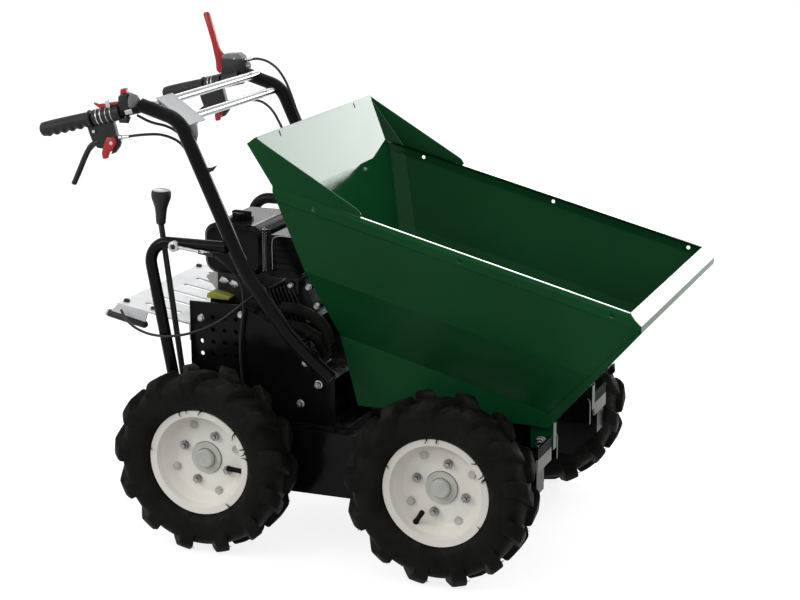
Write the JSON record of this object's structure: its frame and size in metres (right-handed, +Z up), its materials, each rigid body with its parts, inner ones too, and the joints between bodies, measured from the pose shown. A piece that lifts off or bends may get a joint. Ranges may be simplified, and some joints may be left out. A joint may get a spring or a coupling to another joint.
{
  "type": "walk-behind site dumper",
  "caption": "Walk-behind site dumper with a forward-tipping sheet steel skip, lugged tyres, an open engine at the rear and two curved handles.",
  "frame": {"origin": "on the ground, under the middle of the machine's overall length and width", "axes": "+X forward, the way the skip tips, +Y to the machine's left, +Z up"},
  "size_m": [1.3592, 0.77, 1.092],
  "materials": {
    "green_paint": "gloss",
    "cream_paint": "satin",
    "black_paint": "gloss",
    "grey_sheet": "satin",
    "tyre_rubber": "matt",
    "grip_rubber": "matt",
    "black_plastic": "satin",
    "red_plastic": "gloss",
    "bright_steel": "satin",
    "cast_alloy": "satin"
  },
  "bodies": {
    "chassis": {"air_cleaner": "black_plastic", "belt_cover": "black_paint", "cables": "black_plastic", "clutch_lever": "black_plastic", "control_panel": "grey_sheet", "cross_tubes": "bright_steel", "crossmembers": "black_paint", "drive_lever": "red_plastic", "engine": "cast_alloy", "engine_deck": "black_paint", "front_plates": "grey_sheet", "fuel_tank": "black_paint", "gear_lever": "black_plastic", "gearbox": "black_paint", "grips": "grip_rubber", "handle_tube_left": "black_paint", "handle_tube_right": "black_paint", "muffler_guard": "black_paint", "rail_left": "black_paint", "rail_right": "black_paint", "rear_tray": "grey_sheet", "recoil_starter": "black_paint", "side_plate_left": "black_paint", "side_plate_right": "black_paint", "skip_bearers": "black_paint", "support_loop_left": "black_paint", "support_loop_right": "black_paint", "switch_box": "black_plastic"},
    "skip": {"hinge_plates": "green_paint", "skip_back": "green_paint", "skip_floor": "green_paint", "skip_side_left": "green_paint", "skip_side_right": "green_paint"},
    "wheel_front_left": {"hub_front_left": "cast_alloy", "rim_front_left": "cream_paint", "tyre_front_left": "tyre_rubber"},
    "wheel_front_right": {"hub_front_right": "cast_alloy", "rim_front_right": "cream_paint", "tyre_front_right": "tyre_rubber"},
    "wheel_rear_left": {"hub_rear_left": "cast_alloy", "rim_rear_left": "cream_paint", "tyre_rear_left": "tyre_rubber"},
    "wheel_rear_right": {"hub_rear_right": "cast_alloy", "rim_rear_right": "cream_paint", "tyre_rear_right": "tyre_rubber"}
  },
  "joints": [
    {"name": "skip_tip", "type": "hinge", "parent": "chassis", "child": "skip", "pos_m": [0.4295, 0, 0.268], "axis": [0, 1, 0], "range_deg": [0, 80]},
    {"name": "wheel_front_left_spin", "type": "hinge", "parent": "chassis", "child": "wheel_front_left", "pos_m": [0.2685, 0.33, 0.203], "axis": [0, 1, 0], "continuous": true},
    {"name": "wheel_front_right_spin", "type": "hinge", "parent": "chassis", "child": "wheel_front_right", "pos_m": [0.2685, -0.33, 0.203], "axis": [0, 1, 0], "continuous": true},
    {"name": "wheel_rear_left_spin", "type": "hinge", "parent": "chassis", "child": "wheel_rear_left", "pos_m": [-0.2735, 0.33, 0.203], "axis": [0, 1, 0], "continuous": true},
    {"name": "wheel_rear_right_spin", "type": "hinge", "parent": "chassis", "child": "wheel_rear_right", "pos_m": [-0.2735, -0.33, 0.203], "axis": [0, 1, 0], "continuous": true}
  ]
}
